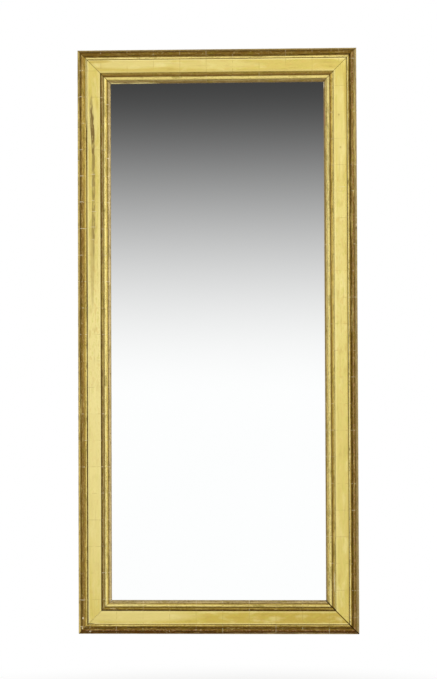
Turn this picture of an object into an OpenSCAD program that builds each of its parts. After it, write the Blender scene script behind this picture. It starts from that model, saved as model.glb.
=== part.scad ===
// Pier mirror: a mitred pine carcass carries gilt mouldings on its front, with a mirror plate behind
// their inner lip, a boarded back and two hanging rings.
// Millimetres. X runs to the right, Y to the back and Z up. The origin is the middle of the bottom
// edge, on the plane of the carcass's back.

/* [Overall] */
// Width over the outer edges
overall_w = 814; // [700:1:950]
// Height over the outer edges
overall_h = 1700; // [1400:1:2000]
// Hairline left between two members at a mitre
mitre_gap = 0.3; // [0.1:0.1:0.8]
// Clearance between a piece and its seat
seat_gap = 0.3; // [0.1:0.1:0.5]

/* [Carcass] */
// Thickness of the carcass from back to front
carcass_t = 30; // [27:0.5:36]
// Width of the rebate that takes the back boards
rebate_w = 15; // [12:0.5:18]

/* [Outer moulding] */
// Width of the flat fillet along the outer edge
edge_fillet_w = 5; // [3:0.5:8]
// Height of the edge fillet over the carcass
edge_fillet_h = 12; // [8:0.5:14]
// Easing of the outer arris
edge_ease = 1.2; // [0.5:0.1:2]
// Radius of the torus
torus_r = 8.5; // [6:0.5:11]
// Height of the torus's centre over the edge fillet
torus_lift = 1; // [0:0.5:3]
// Width of the fillet on the inner side of the torus
neck_fillet_w = 5.5; // [3:0.5:8]
// Rise of the neck fillet over the frieze
neck_rise = 3; // [1:0.5:5]

/* [Frieze] */
// Width of the flat frieze
frieze_w = 38.5; // [28:0.5:50]
// Thickness of the frieze
frieze_h = 12; // [10:0.5:16]
// Rounding of the frieze's two arrises
frieze_arris = 1.5; // [0.5:0.1:3]
// Open quirk between the outer moulding and the frieze
quirk_w = 1; // [0.5:0.1:2]

/* [Sight moulding] */
// Width of the sight moulding's seat on the carcass
sight_seat_w = 18; // [15:0.5:19]
// Width of the cove
cove_w = 11; // [8:1:14]
// Depth of the cove
cove_depth = 3.7; // [2:0.1:5]
// Height of the cove's edges over the carcass
cove_edge_h = 7.5; // [6.5:0.1:9.5]
// Width of the small fillet between cove and ovolo
bead_fillet_w = 1; // [0.5:0.1:3]
// Radius of the ovolo
ovolo_r = 8; // [6.5:0.5:9.5]
// Width of the quirk between ovolo and sight fillet
sight_quirk_w = 1.5; // [0.8:0.1:2.5]
// Depth of that quirk
sight_quirk_d = 2; // [1:0.1:2.5]
// Width of the sloping fillet along the sight edge
sight_fillet_w = 7; // [5:0.5:12]
// Fall of the sight fillet from its outer to its inner edge
sight_fall = 2; // [1:0.1:3]
// Chamfer along the sight edge
sight_chamfer = 1.5; // [0.5:0.1:2]
// Reach of the lip behind the carcass's front
lip_drop = 8; // [6.5:0.5:9]

/* [Mirror plate] */
// Thickness of the plate
glass_t = 5; // [3:0.5:6]
// Play between the plate's edge and the carcass
glass_play = 2; // [1:0.5:3]

/* [Glass wedges] */
// Width of a wedge along the plate
wedge_w = 10; // [6:0.5:14]
// Length of a wedge
wedge_len = 40; // [25:1:60]
// Wedges along each stile
wedges_per_stile = 5; // [3:1:7]
// Wedges along each rail
wedges_per_rail = 3; // [2:1:4]

/* [Back boards] */
// Number of boards
board_count = 8; // [6:1:10]
// Thickness of a board
board_t = 8; // [6:0.5:10]
// Open joint between two boards
board_joint = 1.5; // [0.5:0.1:3]
// Play between the boards and the rebate
board_play = 1; // [0.5:0.1:2]
// Chamfer along a board's back edges
board_chamfer = 1.2; // [0.5:0.1:2]

/* [Board nails] */
// Side of a nail's square shank
nail_side = 2.2; // [1.8:0.1:3]
// Length of a nail under its head
nail_len = 20; // [14:0.5:22]
// Width of a nail's head
nail_head_w = 5; // [4:0.1:6.5]
// Height of a nail's head
nail_head_h = 3.4; // [3:0.1:5]
// Thickness of a nail's head
nail_head_t = 1; // [0.6:0.1:1.5]
// Play round a nail's shank
nail_play = 0.1; // [0.05:0.05:0.3]
// Nail's distance from the middle of its board
nail_offset = 52; // [30:1:60]

/* [Corner keys] */
// Length of a key across the mitre
key_len = 56; // [40:1:60]
// Width of a key at its ends
key_end_w = 26; // [20:1:30]
// Width of a key at its waist
key_waist_w = 14; // [8:1:18]
// Depth of a key
key_depth = 10; // [6:0.5:14]
// Play round a key in its recess
key_play = 0.15; // [0.05:0.05:0.3]

/* [Hangers] */
// Distance of the ring's eye below the top edge
hanger_drop = 340; // [250:1:450]
// Width of the folded strap
strap_w = 18; // [14:1:20]
// Length of the strap below the eye
strap_len = 30; // [26:1:34]
// Thickness of one leaf of the strap
leaf_t = 1.2; // [0.8:0.1:1.6]
// Length of the neck that leads into the eye
neck_len = 6; // [4.5:0.5:6.5]
// Diameter of the ring's wire
wire_d = 4; // [3:0.5:5]
// Running clearance round the wire in the eye
eye_clearance = 0.08; // [0.02:0.01:0.1]
// Width of the ring over the middle of its wire
ring_w = 38; // [34:1:44]
// Drop of the ring below the eye, to the middle of its wire
ring_drop = 46; // [42:1:54]
// Bend of the ring's two upper corners
ring_corner_r = 7; // [5:0.5:8]

/* [Hanger screws] */
// Diameter of a screw's shank
screw_d = 3.4; // [2.8:0.1:4]
// Length of a screw under its head
screw_len = 20; // [14:1:24]
// Diameter of a screw's head
screw_head_d = 6.8; // [6:0.1:7.5]
// Height of a screw's domed head
screw_head_h = 1.8; // [1.2:0.1:2.4]
// Play round a screw's shank
screw_play = 0.1; // [0.05:0.05:0.2]
// Drop of the upper screw below the eye
screw_top_drop = 11; // [10.5:0.5:12]
// Distance between the two screws of a strap
screw_pitch = 11; // [9:0.5:12]
// Width and depth of the slot in a head
slot_size = 0.9; // [0.5:0.1:1.2]

/* [Hidden] */
$fn = 64;
// Margin by which cutting shapes pass the piece they cut
cut = 1;

SIDES = ["top", "bottom", "left", "right"];

// Places across the face, counted inwards from the outer edge
outer_w = edge_fillet_w + 2 * torus_r + neck_fillet_w;
frieze_u = outer_w + quirk_w;
sight_u = frieze_u + frieze_w;
carcass_w = sight_u + sight_seat_w;
ovolo_x = cove_w + bead_fillet_w;
sight_fillet_x = ovolo_x + ovolo_r + sight_quirk_w;
sight_w = sight_fillet_x + sight_fillet_w;
face_w = sight_u + sight_w;
back_land = carcass_w - rebate_w;

// Places from back to front, counted forwards from the back plane
rebate_d = board_t + nail_head_t;
glass_front = carcass_t - lip_drop - seat_gap;
glass_back = glass_front - glass_t;
wedge_h = glass_back - rebate_d - 2 * seat_gap;

// The boarded opening
opening_w = overall_w - 2 * back_land;
opening_h = overall_h - 2 * back_land;
board_w = opening_w - 2 * board_play;
board_pitch = (opening_h - 2 * board_play + board_joint) / board_count;
board_h = board_pitch - board_joint;
nail_x = overall_w / 2 - carcass_w + rebate_w / 2;

// The hangers
hanger_x = overall_w / 2 - back_land / 2;
hanger_z = overall_h - hanger_drop;
eye_r = wire_d / 2 + eye_clearance;
eye_y = eye_r + leaf_t;

gilt = [0.88, 0.80, 0.48];
dark_gilt = [0.47, 0.37, 0.17];
pine = [0.72, 0.58, 0.38];
old_pine = [0.60, 0.46, 0.29];

// ---- shared forms ----

// Turns a shape that lies along the bottom edge onto another side of the frame
module on_side(side) {
    turn = side == "top" ? 180 : side == "left" ? 90 : side == "right" ? -90 : 0;
    across = side == "left" ? -overall_w / 2 : side == "right" ? overall_w / 2 : 0;
    up = side == "top" ? overall_h : side == "bottom" ? 0 : overall_h / 2;
    translate([across, 0, up]) rotate([0, turn, 0]) children();
}

function upright(side) = side == "left" || side == "right";
function side_len(side) = upright(side) ? overall_h : overall_w;

// A member of one side: its profile runs the whole side and both ends are cut to a mitre
module member(side) {
    half = side_len(side) / 2 - mitre_gap / sqrt(2);
    tip = half + cut;
    tail = half - face_w - cut;
    on_side(side) rotate([90, 0, 0]) intersection() {
        rotate([90, 0, 90]) linear_extrude(height = side_len(side), center = true) children();
        translate([0, 0, -cut])
            linear_extrude(height = carcass_t + edge_fillet_h + 2 * torus_r + frieze_h)
                polygon([[-tip, -cut], [tip, -cut], [tail, face_w + cut], [-tail, face_w + cut]]);
    }
}

// ---- carcass ----

module carcass_profile() {
    difference() {
        square([carcass_w, carcass_t]);
        translate([back_land, -cut]) square([rebate_w + cut, rebate_d + cut]);
    }
}

// The outline of a butterfly key, grown by its play where it is a recess
module key_outline(play) {
    half = key_len / 2 + play;
    end = key_end_w / 2 + play;
    waist = key_waist_w / 2 + play;
    polygon([[-half, -end], [0, -waist], [half, -end], [half, end], [0, waist], [-half, end]]);
}

// A key across the mitre of one corner, where sx and sz are -1 or 1 towards that corner
module key_body(sx, sz, play, depth) {
    translate([sx * hanger_x, 0, overall_h / 2 + sz * (overall_h / 2 - back_land / 2)])
        rotate([90, sx * sz * 45, 0]) linear_extrude(height = depth) key_outline(play);
}

module key_recesses(corners) {
    for (c = corners) translate([0, cut, 0]) key_body(c[0], c[1], key_play, key_depth + key_play + cut);
}

module rail(side, sz) {
    color(old_pine) difference() {
        member(side) carcass_profile();
        key_recesses([[-1, sz], [1, sz]]);
    }
}

module stile(side, sx) {
    color(old_pine) difference() {
        member(side) carcass_profile();
        key_recesses([[sx, -1], [sx, 1]]);
        at_nails([sx]) nail_hole();
        at_screws([sx]) screw_hole();
    }
}

module corner_key(sx, sz) {
    color(pine) key_body(sx, sz, 0, key_depth);
}

// ---- mouldings ----

// Edge fillet with an eased outer arris, a torus, and a neck fillet that stands over the frieze
module outer_profile() {
    torus_x = edge_fillet_w + torus_r;
    square([torus_x, edge_fillet_h - edge_ease]);
    translate([edge_ease, 0]) square([torus_x - edge_ease, edge_fillet_h]);
    translate([edge_ease, edge_fillet_h - edge_ease]) circle(r = edge_ease);
    translate([torus_x, edge_fillet_h + torus_lift]) circle(r = torus_r);
    translate([torus_x, 0]) square([outer_w - torus_x, frieze_h + neck_rise]);
}

module outer_moulding(side) {
    color(dark_gilt) member(side) translate([0, carcass_t]) outer_profile();
}

// A flat strip with both front arrises rounded
module frieze_profile() {
    square([frieze_w, frieze_h - frieze_arris]);
    translate([frieze_arris, 0]) square([frieze_w - 2 * frieze_arris, frieze_h]);
    for (x = [frieze_arris, frieze_w - frieze_arris])
        translate([x, frieze_h - frieze_arris]) circle(r = frieze_arris);
}

module frieze(side) {
    color(gilt) member(side) translate([frieze_u, carcass_t]) frieze_profile();
}

// The flats of the sight moulding: the cove's block, the small fillet, the quirk, the sloping sight
// fillet, and the lip that wraps the carcass's inner edge and holds the plate
module sight_flats() {
    back_x = sight_seat_w + seat_gap;
    ovolo_end = ovolo_x + ovolo_r;
    polygon([
        [0, 0], [back_x, 0], [back_x, -lip_drop], [sight_w, -lip_drop],
        [sight_w, -sight_fall - sight_chamfer], [sight_w - sight_chamfer, -sight_fall],
        [sight_fillet_x, 0], [sight_fillet_x, -sight_quirk_d], [ovolo_end, -sight_quirk_d],
        [ovolo_end, 0], [ovolo_x, ovolo_r], [cove_w, ovolo_r], [cove_w, cove_edge_h], [0, cove_edge_h]
    ]);
}

// The flats with the quarter round of the ovolo added and the hollow of the cove taken out
module sight_profile() {
    cove_r = (cove_w * cove_w / 4 + cove_depth * cove_depth) / (2 * cove_depth);
    difference() {
        union() {
            sight_flats();
            translate([ovolo_x, 0]) intersection() {
                circle(r = ovolo_r);
                square(ovolo_r + cut);
            }
        }
        intersection() {
            translate([cove_w / 2, cove_edge_h - cove_depth + cove_r]) circle(r = cove_r);
            square([cove_w, ovolo_r + 2 * cove_r]);
        }
    }
}

module sight_moulding(side) {
    color(dark_gilt) member(side) translate([sight_u, carcass_t]) sight_profile();
}

// ---- mirror plate and wedges ----

module mirror_plate() {
    w = overall_w - 2 * (carcass_w + glass_play);
    h = overall_h - 2 * (carcass_w + glass_play);
    color("lightsteelblue") translate([-w / 2, -glass_front, overall_h / 2 - h / 2]) cube([w, glass_t, h]);
}

// One wedge in the corner between the plate and the carcass, on the bottom edge
module wedge() {
    corner_u = carcass_w + seat_gap;
    corner_v = glass_back - seat_gap;
    rotate([90, 0, 90]) linear_extrude(height = wedge_len, center = true)
        polygon([[-corner_v, corner_u], [-corner_v, corner_u + wedge_w], [wedge_h - corner_v, corner_u]]);
}

module glass_wedges() {
    color(pine) for (side = SIDES) {
        n = upright(side) ? wedges_per_stile : wedges_per_rail;
        pitch = (side_len(side) - 2 * carcass_w) / n;
        on_side(side) for (i = [0 : n - 1]) translate([(i - (n - 1) / 2) * pitch, 0, 0]) wedge();
    }
}

// ---- boarded back ----

function board_z(i) = back_land + board_play + (i - 0.5) * board_pitch - board_joint / 2;

// One board: its back edges are chamfered along the grain
module back_board(i) {
    half = board_h / 2;
    c = board_chamfer;
    color(pine) difference() {
        translate([0, -nail_head_t, board_z(i)])
            rotate([90, 0, 90]) linear_extrude(height = board_w, center = true)
                polygon([[-board_t, -half], [-c, -half], [0, c - half], [0, half - c], [-c, half], [-board_t, half]]);
        at_board_nails(i, [-1, 1]) nail_hole();
    }
}

// Puts a nail or its hole at the two places on each given end of board i
module at_board_nails(i, ends) {
    for (sx = ends, k = [-1, 1]) translate([sx * nail_x, -nail_head_t, board_z(i) + k * nail_offset]) children();
}

module at_nails(ends) {
    for (i = [1 : board_count]) at_board_nails(i, ends) children();
}

module shank(side, len) {
    translate([-side / 2, -len, -side / 2]) cube([side, len, side]);
}

module nail_hole() {
    translate([0, cut, 0]) shank(nail_side + 2 * nail_play, nail_len + nail_play + cut);
}

module board_nails() {
    color("dimgray") at_nails([-1, 1]) {
        shank(nail_side, nail_len);
        translate([-nail_head_w / 2, 0, -nail_head_h / 2]) cube([nail_head_w, nail_head_t, nail_head_h]);
    }
}

// ---- hangers ----

module at_hanger(sx) {
    translate([sx * hanger_x, 0, hanger_z]) children();
}

// Puts a screw or its hole under the two places on each given strap
module at_screws(hands) {
    for (sx = hands, k = [0, 1])
        at_hanger(sx) translate([0, 2 * leaf_t, -screw_top_drop - k * screw_pitch]) children();
}

// A shape that points to the back, turned from one that points up
module to_back() {
    rotate([-90, 0, 0]) children();
}

module screw_hole() {
    to_back() translate([0, 0, -screw_len - screw_play])
        cylinder(r = screw_d / 2 + screw_play, h = screw_len + screw_play + cut);
}

// A round-headed screw with a slot, seated on the strap
module screw() {
    head_r = screw_head_d / 2;
    dome_r = (head_r * head_r + screw_head_h * screw_head_h) / (2 * screw_head_h);
    to_back() difference() {
        union() {
            translate([0, 0, -screw_len]) cylinder(r = screw_d / 2, h = screw_len + screw_head_h / 2);
            intersection() {
                translate([0, 0, screw_head_h - dome_r]) sphere(r = dome_r);
                cylinder(r = head_r + cut, h = screw_head_h + cut);
            }
        }
        translate([-head_r - cut, -slot_size / 2, screw_head_h - slot_size])
            cube([2 * (head_r + cut), slot_size, slot_size + cut]);
    }
}

module hanger_screws() {
    color("goldenrod") at_screws([-1, 1]) screw();
}

// The side view of the folded strap: two leaves flat on the stile, a neck and the rolled eye
module strap_profile() {
    outer_r = eye_r + leaf_t;
    difference() {
        union() {
            translate([0, -strap_len]) square([2 * leaf_t, strap_len]);
            translate([eye_y, 0]) circle(r = outer_r);
            polygon([
                [0, -neck_len], [2 * leaf_t, -neck_len],
                [eye_y + outer_r * cos(35), -outer_r * sin(35)], [eye_y, 0], [0, 0]
            ]);
        }
        translate([eye_y, 0]) circle(r = eye_r);
    }
}

module hanger_strap(sx) {
    color("darkgoldenrod") at_hanger(sx) difference() {
        intersection() {
            rotate([90, 0, 90]) linear_extrude(height = strap_w, center = true) strap_profile();
            to_back() translate([0, 0, -cut]) linear_extrude(height = 4 * eye_y + cut) {
                translate([-strap_w / 2, -2 * eye_y]) square([strap_w, strap_len - strap_w / 2 + 2 * eye_y]);
                translate([0, strap_len - strap_w / 2]) circle(r = strap_w / 2);
            }
        }
        for (k = [0, 1]) translate([0, 2 * leaf_t, -screw_top_drop - k * screw_pitch]) screw_hole();
    }
}

// An arc of the ring's wire about the origin, from one angle through another, in the ring's plane
module wire_arc(bend_r, from, sweep) {
    rotate([90, 0, 0]) rotate([0, 0, from])
        rotate_extrude(angle = sweep) translate([bend_r, 0]) circle(r = wire_d / 2);
}

// A D-shaped ring: its straight leg turns in the eye and its bow hangs below
module hanging_ring(sx) {
    half = ring_w / 2;
    leg = half - ring_corner_r;
    bow_z = half - ring_drop;
    color("goldenrod") at_hanger(sx) translate([0, eye_y, 0]) {
        rotate([0, 90, 0]) cylinder(r = wire_d / 2, h = 2 * leg, center = true);
        for (s = [-1, 1]) {
            translate([s * half, 0, bow_z]) cylinder(r = wire_d / 2, h = -ring_corner_r - bow_z);
            translate([s * leg, 0, -ring_corner_r]) wire_arc(ring_corner_r, s > 0 ? 0 : 90, 90);
        }
        translate([0, 0, bow_z]) wire_arc(half, 180, 180);
    }
}

// ---- the parts ----

rail("top", 1);  // top_rail
rail("bottom", -1);  // bottom_rail
stile("left", -1);  // left_stile
stile("right", 1);  // right_stile
for (s = SIDES) {
    outer_moulding(s);
    frieze(s);
    sight_moulding(s);
}
corner_key(-1, 1);  // top_left_key
corner_key(1, 1);  // top_right_key
corner_key(-1, -1);  // bottom_left_key
corner_key(1, -1);  // bottom_right_key
mirror_plate();
glass_wedges();
for (i = [1 : board_count]) back_board(i);
board_nails();
hanger_strap(-1);  // left_hanger_strap
hanger_strap(1);  // right_hanger_strap
hanger_screws();
hanging_ring(-1);  // left_hanging_ring
hanging_ring(1);  // right_hanging_ring
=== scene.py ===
import math
import random

import bpy
from mathutils import Matrix, Vector


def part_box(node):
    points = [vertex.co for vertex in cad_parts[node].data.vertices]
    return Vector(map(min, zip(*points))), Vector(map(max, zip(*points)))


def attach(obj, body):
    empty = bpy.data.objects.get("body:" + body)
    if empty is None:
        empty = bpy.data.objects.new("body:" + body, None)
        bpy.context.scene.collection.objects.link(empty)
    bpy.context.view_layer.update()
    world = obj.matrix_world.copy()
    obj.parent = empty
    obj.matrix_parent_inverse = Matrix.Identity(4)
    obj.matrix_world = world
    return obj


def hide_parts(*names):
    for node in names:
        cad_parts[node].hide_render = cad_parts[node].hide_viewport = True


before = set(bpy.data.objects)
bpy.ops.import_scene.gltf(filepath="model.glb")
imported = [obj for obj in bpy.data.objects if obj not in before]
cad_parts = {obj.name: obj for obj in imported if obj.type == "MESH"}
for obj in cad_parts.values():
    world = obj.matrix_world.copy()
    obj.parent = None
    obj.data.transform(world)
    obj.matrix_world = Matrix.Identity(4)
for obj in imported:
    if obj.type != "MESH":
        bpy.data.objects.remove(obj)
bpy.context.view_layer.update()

# A giltwood pier mirror. Lengths are metres: X to the right, Y to the back, Z up. A place on a member
# of the frame is given as on the bottom rail: along it, u inwards from the outer edge across its face,
# and v forwards from the back plane.

MM = 0.001

# ---- sizes read off the frame ----


def section_box(node):
    """Where a bottom member lies: its u range and its v range."""
    low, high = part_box(node)
    return (low.z, high.z), (-high.y, -low.y)


WIDTH = 2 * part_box("right_outer_moulding")[1].x
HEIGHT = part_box("top_outer_moulding")[1].z
(_, CARCASS_U), (_, CARCASS_V) = section_box("bottom_rail")
(_, OUTER_U), (_, TORUS_V) = section_box("bottom_outer_moulding")
(FRIEZE_U0, FRIEZE_U1), (_, FRIEZE_V) = section_box("bottom_frieze")
(SIGHT_U0, SIGHT_U1), (LIP_V, OVOLO_V) = section_box("bottom_sight_moulding")
PLATE_LOW, PLATE_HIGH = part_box("mirror_plate")
BOARDS = [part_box(f"back_board_{i}") for i in range(1, 9)]

# ---- sizes of the sections ----

EDGE_FILLET_W = 5 * MM
EDGE_FILLET_H = 12 * MM
EDGE_EASE = 1.2 * MM
# Outer sides lie this far inside the whole width and height, so that uneven work never stands past them
EDGE_SET_IN = 0.2 * MM
TORUS_R = 8.5 * MM
NECK_RISE = 3 * MM
NECK_EASE = 0.6 * MM
FRIEZE_ARRIS = 0.8 * MM
COVE_W = 11 * MM
COVE_DEPTH = 3.7 * MM
COVE_EDGE_H = 7.5 * MM
BEAD_FILLET_W = 1 * MM
SIGHT_QUIRK_W = 1.5 * MM
SIGHT_QUIRK_D = 2 * MM
SIGHT_FALL = 2 * MM
SIGHT_CHAMFER = 1.5 * MM
SEAT_GAP = 0.3 * MM
REBATE_W = 15 * MM
REBATE_D = 9 * MM

# Gaps in the mitres as they are cut: the gilt ones, the gilt one at the bottom right that has opened, and the
# carcass's. The hand work then sinks both faces, and leaves about 0.5, 0.8 and 0.6 mm between them
MITRE_GAP = 0.12 * MM
OPEN_MITRE_GAP = 0.5 * MM
CARCASS_GAP = 0.04 * MM

# How far arrises are rounded
PLATE_EASE = 0.6 * MM
KEY_EASE = 0.5 * MM
CARCASS_EASE = 1.1 * MM
NAIL_EASE = 0.22 * MM
STRAP_EASE = 0.18 * MM
SCREW_EASE = 0.12 * MM
ARRIS_ANGLE = math.radians(40)

# Hand work: how far a surface sinks at most, and the size of its hollows
GESSO_HOLLOWS = (0.35 * MM, 60 * MM)
GESSO_RIPPLES = (0.15 * MM, 7 * MM)
CARCASS_HOLLOWS = (0.5 * MM, 50 * MM)
KEY_HOLLOWS = (0.3 * MM, 14 * MM)
BOARD_HOLLOWS = (0.6 * MM, 120 * MM)

# Turns a primitive that lies flat so that it stands facing forwards
UPRIGHT = (math.pi / 2, 0, 0)

# Spacing of the mesh across and along a moulding, and on plainer wood
ACROSS = 1.6 * MM
ALONG = 4 * MM
COARSE = 7 * MM
# Spacing down a plain side, round a curve, on a narrow flat, round an eased edge and round a small arris
SIDE_STEP = 3 * MM
CURVE_STEP = 1.1 * MM
NARROW_STEP = 0.8 * MM
EASE_STEP = 0.5 * MM
ARRIS_STEP = 0.4 * MM
ONE_RUN = 1.0
# Points nearer than this are one point
HAIR = 0.01 * MM

random.seed(1860)

# The turn and the place that bring a member from the bottom edge onto its own side
SIDES = {
    "bottom": (0, Vector((0, 0, 0))),
    "top": (math.pi, Vector((0, 0, HEIGHT))),
    "left": (math.pi / 2, Vector((-WIDTH / 2, 0, HEIGHT / 2))),
    "right": (-math.pi / 2, Vector((WIDTH / 2, 0, HEIGHT / 2))),
}
LENGTHS = {"bottom": WIDTH, "top": WIDTH, "left": HEIGHT, "right": HEIGHT}
CARCASS_NODES = {"bottom": "bottom_rail", "top": "top_rail", "left": "left_stile", "right": "right_stile"}


# ---- the bench: starting, holding and finishing a piece ----


def clear_bench():
    """Leaves edit mode with nothing selected."""
    if bpy.context.object and bpy.context.object.mode == "EDIT":
        bpy.ops.object.mode_set(mode="OBJECT")
    bpy.ops.object.select_all(action="DESELECT")


def begun(primitive, name, **settings):
    """A primitive with its turn, size and place left in its mesh, all selected in edit mode."""
    clear_bench()
    primitive(**settings)
    piece = name_piece(name)
    bpy.ops.object.transform_apply(location=True, rotation=True, scale=True)
    bpy.ops.object.mode_set(mode="EDIT")
    bpy.ops.mesh.select_all(action="SELECT")
    return piece


def take(*pieces):
    """Selects the pieces, the last one active."""
    clear_bench()
    for piece in pieces:
        piece.select_set(True)
        bpy.context.view_layer.objects.active = piece


def name_piece(name):
    piece = bpy.context.object
    piece.name = name
    piece.data.name = name
    return piece


def done():
    bpy.ops.object.mode_set(mode="OBJECT")


def drawn_forwards(depth):
    """What is selected is extruded towards the front."""
    bpy.ops.mesh.extrude_region_move(TRANSFORM_OT_translate={"value": (0, -depth, 0)})


def pick(piece, kind, wanted):
    """Selects, in edit mode, the vertices, edges or faces whose middle passes the test."""
    bpy.ops.mesh.select_mode(type=kind)
    bpy.ops.mesh.select_all(action="DESELECT")
    done()
    mesh = piece.data
    parts = {"VERT": mesh.vertices, "EDGE": mesh.edges, "FACE": mesh.polygons}[kind]
    for part in parts:
        if kind == "VERT":
            middle = part.co
        else:
            corners = [mesh.vertices[i].co for i in part.vertices]
            middle = sum(corners, Vector()) / len(corners)
        part.select = bool(wanted(middle))
    bpy.ops.object.mode_set(mode="EDIT")


def outwards():
    """Turns all faces outwards, and leaves edit mode."""
    bpy.ops.mesh.select_mode(type="VERT")
    bpy.ops.mesh.select_all(action="SELECT")
    bpy.ops.mesh.remove_doubles(threshold=HAIR)
    bpy.ops.mesh.normals_make_consistent(inside=False)
    done()


def modify(piece, kind, **settings):
    """Adds one modifier with its settings and applies it."""
    take(piece)
    modifier = piece.modifiers.new(kind.lower(), kind)
    for name, value in settings.items():
        setattr(modifier, name, value)
    bpy.ops.object.modifier_apply(modifier=modifier.name)


def uneven(piece, depth, size):
    """Hand work: the surface sinks by up to the depth, in hollows of about the size."""
    hollows = bpy.data.textures.new(piece.name + "_hollows", "CLOUDS")
    hollows.noise_scale = size
    modify(piece, "DISPLACE", texture=hollows, strength=-depth, mid_level=0.0, texture_coords="LOCAL")


def eased(piece, width):
    """Takes the sharpness off every arris."""
    modify(piece, "BEVEL", width=width, segments=2, limit_method="ANGLE", angle_limit=ARRIS_ANGLE)


def smooth(piece, degrees=32):
    take(piece)
    bpy.ops.object.shade_smooth_by_angle(angle=math.radians(degrees))


def put(piece, place, turn=(0, 0, 0)):
    """Turns the piece, moves it to its place and leaves both in its mesh."""
    piece.rotation_euler = turn
    piece.location = place
    take(piece)
    bpy.ops.object.transform_apply(location=True, rotation=True, scale=True)
    return piece


def another(piece, name):
    """A copy with a mesh of its own."""
    copy = piece.copy()
    copy.data = piece.data.copy()
    copy.name = name
    copy.data.name = name
    bpy.context.scene.collection.objects.link(copy)
    return copy


def discard(piece):
    bpy.data.objects.remove(piece)


def joined(pieces, name):
    """Separate solids gathered into one object."""
    take(*pieces)
    bpy.ops.object.join()
    return name_piece(name)


def cut_away(piece, cutter):
    modify(piece, "BOOLEAN", operation="DIFFERENCE", object=cutter, solver="EXACT")


def seat(piece, nodes, finishes, body="frame"):
    """A finished piece stands for its CAD nodes and moves with their body."""
    piece.data.materials.clear()
    for coating in finishes:
        piece.data.materials.append(coating)
    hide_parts(*nodes)
    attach(piece, body)


class Pencil:
    """Draws an outline across X: a point that is run along flats and turned round arcs."""

    def __init__(self, name, x, u, v, across=ACROSS):
        self.piece = begun(bpy.ops.mesh.primitive_plane_add, name, size=MM)
        bpy.ops.mesh.merge(type="CENTER")
        bpy.ops.transform.translate(value=(x, -v, u))
        self.x = x
        self.at = (u, v)
        self.across = across

    def to(self, u, v, step=None):
        """A flat from here to (u, v)."""
        du = u - self.at[0]
        dv = v - self.at[1]
        steps = max(1, round(math.hypot(du, dv) / (step or self.across)))
        bpy.ops.mesh.extrude_repeat(steps=steps, offset=(0, -dv / steps, du / steps))
        self.at = (u, v)

    def round(self, cu, cv, degrees, step=None):
        """An arc about (cu, cv), clockwise with u to the right and v up."""
        du = self.at[0] - cu
        dv = self.at[1] - cv
        sweep = math.radians(degrees)
        steps = max(2, round(abs(sweep) * math.hypot(du, dv) / (step or self.across)))
        bpy.ops.mesh.spin(steps=steps, angle=sweep, center=(self.x, -cv, cu), axis=(1, 0, 0))
        cos = math.cos(sweep)
        sin = math.sin(sweep)
        self.at = (cu + du * cos + dv * sin, cv - du * sin + dv * cos)

    def drawn_out(self, length, along):
        """The outline is drawn out along X to a length, open at both ends."""
        bpy.ops.mesh.select_all(action="SELECT")
        bpy.ops.mesh.remove_doubles(threshold=HAIR)
        steps = max(1, round(length / along))
        bpy.ops.mesh.extrude_repeat(steps=steps, offset=(length / steps, 0, 0))
        return self.piece


def mitred(piece, length, gaps):
    """Both ends cut at 45 degrees, each short of the corner's mitre plane by half its gap."""
    for end, gap in zip((-1, 1), gaps):
        bpy.ops.mesh.select_all(action="SELECT")
        tip = end * (length / 2 - gap / math.sqrt(2))
        bpy.ops.mesh.bisect(
            plane_co=(tip, 0, 0), plane_no=(-end, 0, -1), use_fill=True, clear_inner=True
        )
    outwards()


# Gaps at the low end and the high end of each gilt member, and of the carcass's members
CORNER_GAPS = {
    "bottom": (MITRE_GAP, OPEN_MITRE_GAP),
    "top": (MITRE_GAP, MITRE_GAP),
    "left": (MITRE_GAP, MITRE_GAP),
    "right": (OPEN_MITRE_GAP, MITRE_GAP),
}
CARCASS_GAPS = (CARCASS_GAP, CARCASS_GAP)


def member(section, name, side, gaps, along=ALONG):
    """One side's length of a section, mitred at both ends."""
    length = LENGTHS[side]
    piece = section(name, -length / 2).drawn_out(length, along)
    mitred(piece, length, gaps)
    turn, place = SIDES[side]
    return put(piece, place, (0, turn, 0))


# ---- sections ----


def outer_section(name, x):
    """Edge fillet with an eased arris, the torus, and the neck fillet over the frieze."""
    base = CARCASS_V
    fillet_v = base + EDGE_FILLET_H
    neck_v = FRIEZE_V + NECK_RISE
    centre_u = EDGE_FILLET_W + TORUS_R
    centre_v = TORUS_V - TORUS_R
    entry = math.asin((centre_v - fillet_v) / TORUS_R)
    leave = math.asin((neck_v - centre_v) / TORUS_R)
    pencil = Pencil(name, x, EDGE_SET_IN, base)
    pencil.to(EDGE_SET_IN, fillet_v - EDGE_EASE)
    pencil.round(EDGE_SET_IN + EDGE_EASE, fillet_v - EDGE_EASE, 90, step=EASE_STEP)
    pencil.to(centre_u - TORUS_R * math.cos(entry), fillet_v)
    pencil.round(centre_u, centre_v, 180 + math.degrees(entry - leave), step=CURVE_STEP)
    pencil.to(OUTER_U - NECK_EASE, neck_v)
    pencil.round(OUTER_U - NECK_EASE, neck_v - NECK_EASE, 90, step=ARRIS_STEP)
    pencil.to(OUTER_U, base, step=SIDE_STEP)
    pencil.to(EDGE_SET_IN, base, step=ONE_RUN)
    return pencil


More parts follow.
